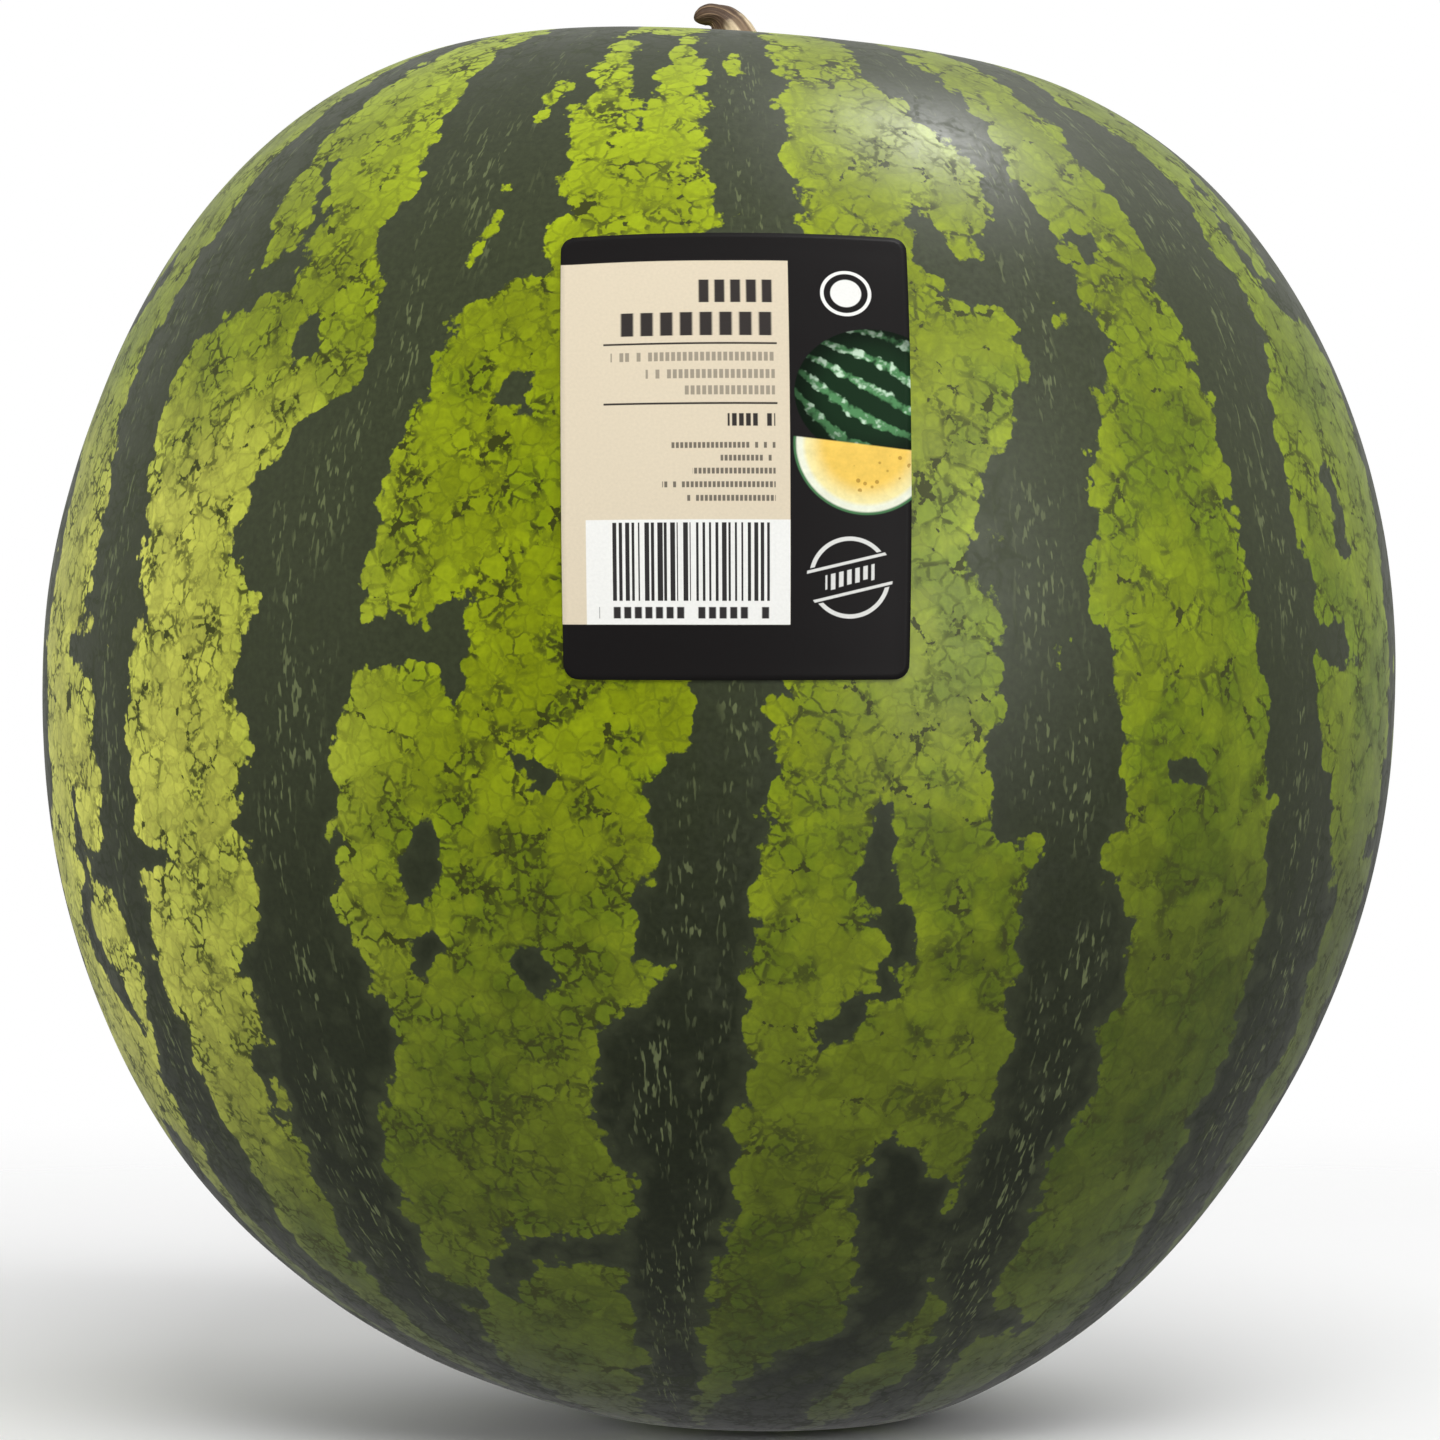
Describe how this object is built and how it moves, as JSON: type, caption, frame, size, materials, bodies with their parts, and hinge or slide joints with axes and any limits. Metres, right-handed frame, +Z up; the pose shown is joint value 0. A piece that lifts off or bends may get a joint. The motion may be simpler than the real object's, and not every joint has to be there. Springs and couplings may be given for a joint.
{
  "type": "watermelon",
  "caption": "Whole round striped watermelon standing on a small flat spot, with a dried stem stub on top and a paper label stuck on its front.",
  "frame": {"origin": "on the ground under the fruit's stem-to-blossom axis, at the level of the flat spot that it rests on", "axes": "+Z up through the stem, -Y out through the label on the front, +X to the right seen from the front"},
  "size_m": [0.25, 0.2475, 0.2625],
  "materials": {
    "striped_rind": "satin waxy fruit skin, dark green stripes on mottled lime green",
    "dry_stem": "dry ridged plant stem, brown with cream ridges",
    "label_paper": "smooth printed paper, black and beige"
  },
  "bodies": {
    "root": {"melon_body": "striped_rind", "dried_stem": "dry_stem", "front_label": "label_paper"}
  },
  "joints": []
}
